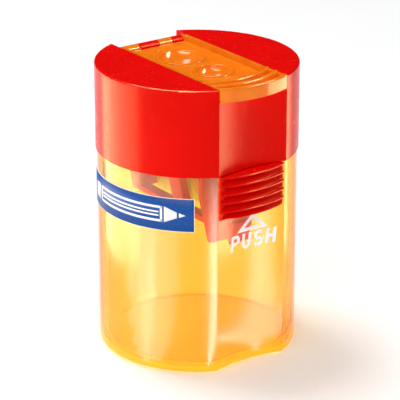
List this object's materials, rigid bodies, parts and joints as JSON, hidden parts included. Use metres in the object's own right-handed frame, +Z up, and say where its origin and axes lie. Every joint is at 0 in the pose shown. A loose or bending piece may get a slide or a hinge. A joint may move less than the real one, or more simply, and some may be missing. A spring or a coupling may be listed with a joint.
{
  "type": "two-hole tub pencil sharpener",
  "caption": "Round clear tub that catches shavings, with a deep plug-on lid holding a two-hole metal sharpening block, a clear hinged flap and a ribbed press latch.",
  "frame": {"origin": "centre of the underside, where the tub stands", "axes": "+Z up along the tub's axis, -Y towards the scooped front with the press latch, +Y towards the flap's hinge"},
  "size_m": [0.042, 0.042, 0.0612],
  "materials": {
    "tub_plastic": "clear amber, polished",
    "flap_plastic": "clear orange, polished",
    "lid_plastic": "gloss",
    "label_film": "satin film",
    "block_metal": "milled, dull",
    "blade_steel": "ground",
    "screw_steel": "turned"
  },
  "bodies": {
    "tub": {"clear_tub": "tub_plastic", "side_label": "label_film"},
    "lid": {"lid_shell": "lid_plastic", "sharpener_cage": "lid_plastic", "sharpener_block": "block_metal", "large_blade": "blade_steel", "small_blade": "blade_steel", "large_blade_screw": "screw_steel", "small_blade_screw": "screw_steel", "flap_hinge_pin": "screw_steel"},
    "latch": {"press_latch": "lid_plastic"},
    "flap": {"hole_flap": "flap_plastic"}
  },
  "joints": [
    {"name": "lid_lift", "type": "slide", "parent": "tub", "child": "lid", "axis": [0, 0, 1], "range_m": [0, 0.04]},
    {"name": "flap_hinge", "type": "hinge", "parent": "lid", "child": "flap", "pos_m": [0, 0.0162, 0.0596], "axis": [-1, 0, 0], "range_deg": [0, 110]},
    {"name": "latch_press", "type": "hinge", "parent": "lid", "child": "latch", "pos_m": [0, -0.0154, 0.0446], "axis": [1, 0, 0], "range_deg": [0, 4], "stiffness_Nm_per_rad": 0.3, "springref_deg": -1.15}
  ]
}
